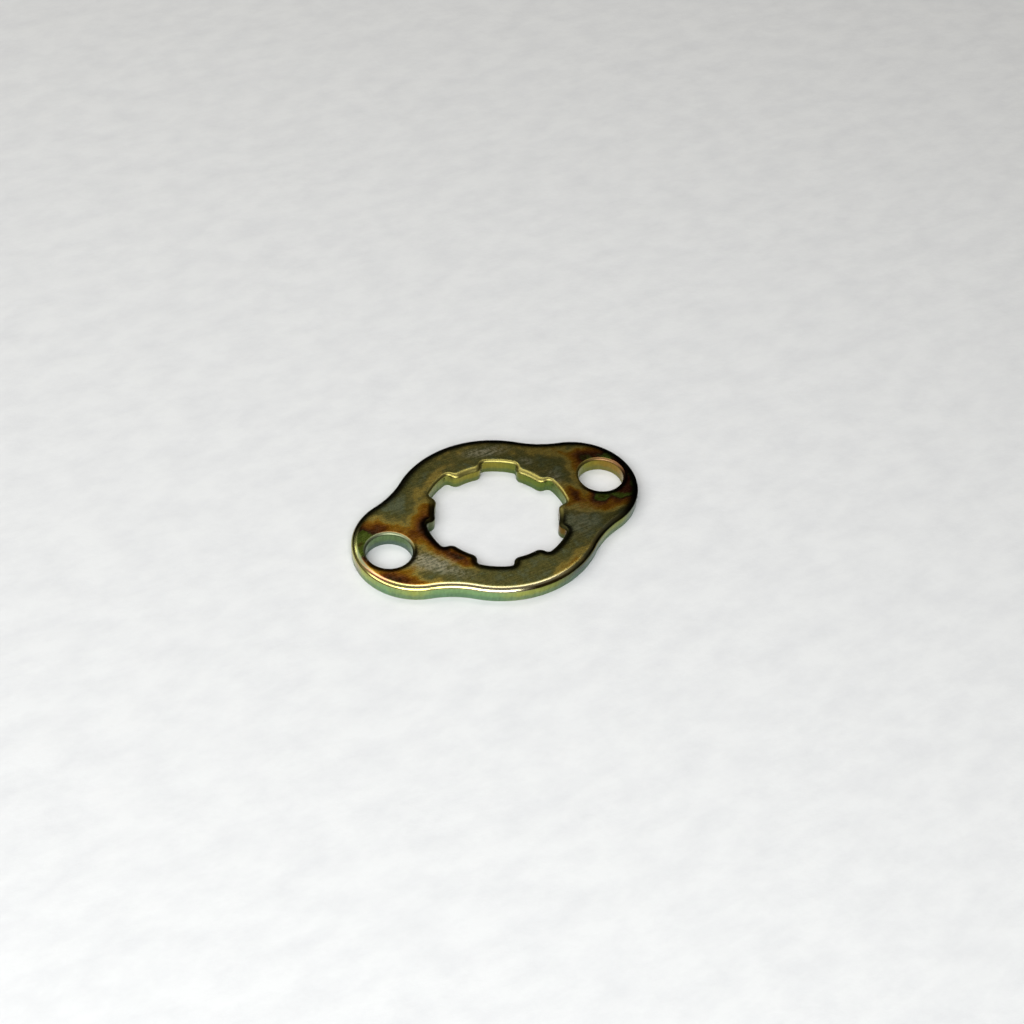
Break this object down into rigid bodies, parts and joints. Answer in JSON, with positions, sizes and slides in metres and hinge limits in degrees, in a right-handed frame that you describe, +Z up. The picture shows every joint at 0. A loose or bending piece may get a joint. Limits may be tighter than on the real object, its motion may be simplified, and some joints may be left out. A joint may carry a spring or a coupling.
{
  "type": "sprocket washer",
  "caption": "Flat steel retaining plate with a toothed spline bore and a bolt hole in each ear, which locks a chain sprocket on a splined output shaft.",
  "frame": {"origin": "middle of the spline bore on the flat underside", "axes": "+X from the middle towards one bolt hole, +Y across the plate, +Z up out of the face with the rolled edges"},
  "size_m": [0.0436, 0.0298, 0.0022],
  "materials": {
    "chromated_steel": "zinc plated with a yellow chromate film, olive to amber on the face and pale green-gold on the edges"
  },
  "bodies": {
    "root": {"sprocket_washer": "chromated_steel"}
  },
  "joints": []
}
